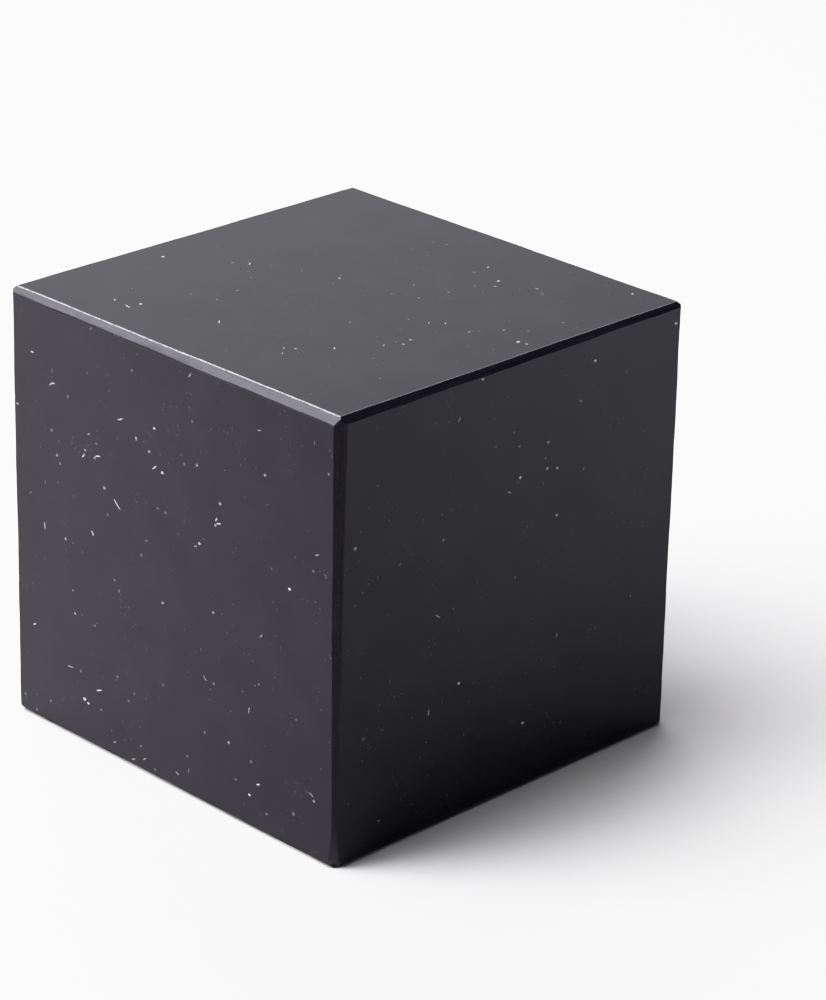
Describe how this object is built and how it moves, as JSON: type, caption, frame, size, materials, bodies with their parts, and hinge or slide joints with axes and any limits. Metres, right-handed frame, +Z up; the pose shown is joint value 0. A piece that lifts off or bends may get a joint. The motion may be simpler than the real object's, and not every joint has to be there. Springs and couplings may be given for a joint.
{
  "type": "polished stone cube",
  "caption": "Solid polished black stone cube with narrow ground edges and fine pale mineral flecks.",
  "frame": {"origin": "middle of the base, on the surface that the cube stands on", "axes": "+Z up; X, Y and Z square to the six polished faces"},
  "size_m": [0.05, 0.05, 0.0492],
  "materials": {
    "polished_black_stone": "black stone polished to a soft gloss, with fine pale mineral flecks"
  },
  "bodies": {
    "root": {"stone_cube": "polished_black_stone"}
  },
  "joints": []
}
